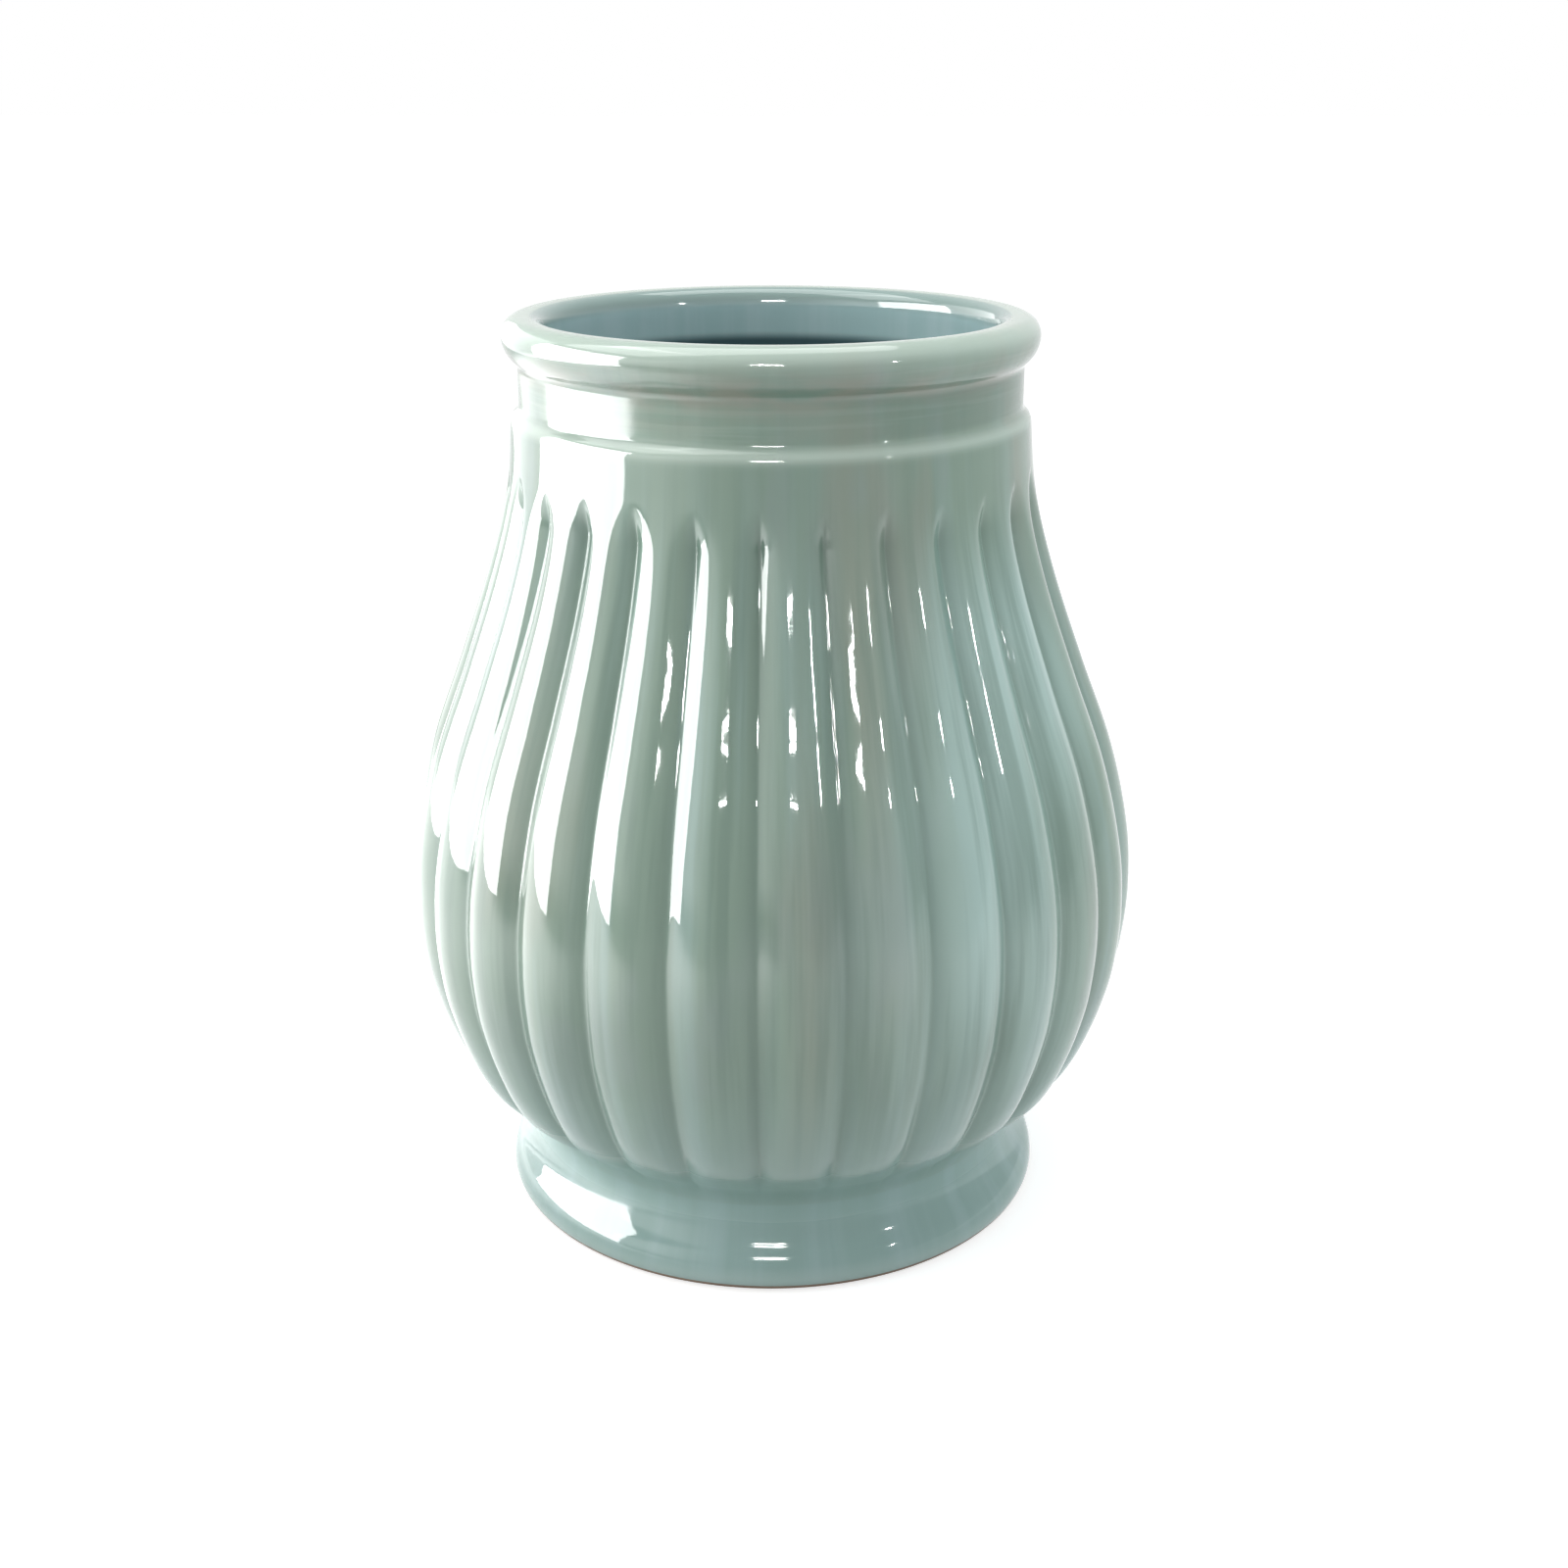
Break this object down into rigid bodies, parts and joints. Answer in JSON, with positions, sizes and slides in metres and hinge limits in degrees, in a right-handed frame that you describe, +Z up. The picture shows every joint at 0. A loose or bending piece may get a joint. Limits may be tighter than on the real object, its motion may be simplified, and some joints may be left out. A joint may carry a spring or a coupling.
{
  "type": "lobed vase",
  "caption": "Wide-mouthed lobed vase with a thick rolled lip, an upright collar on a small ledge, a low full belly and a flared foot, to hold flowers in water.",
  "frame": {"origin": "middle of the foot's contact face, at the level of the table", "axes": "+Z up along the vase's axis of turning; a valley between two lobes lies on the -Y side, which faces the viewer"},
  "size_m": [0.2032, 0.2032, 0.25],
  "materials": {
    "celadon": "glossy grey-green celadon glaze, darker where it pools in the valleys and creases",
    "celadon_foot": "the same glaze, a little bluer where it has run thick, with a wiped bare contact ring"
  },
  "bodies": {
    "root": {"rolled_lip": "celadon", "neck_collar": "celadon", "upper_body": "celadon", "lower_body": "celadon", "base_disc": "celadon", "foot_ring": "celadon_foot"}
  },
  "joints": []
}
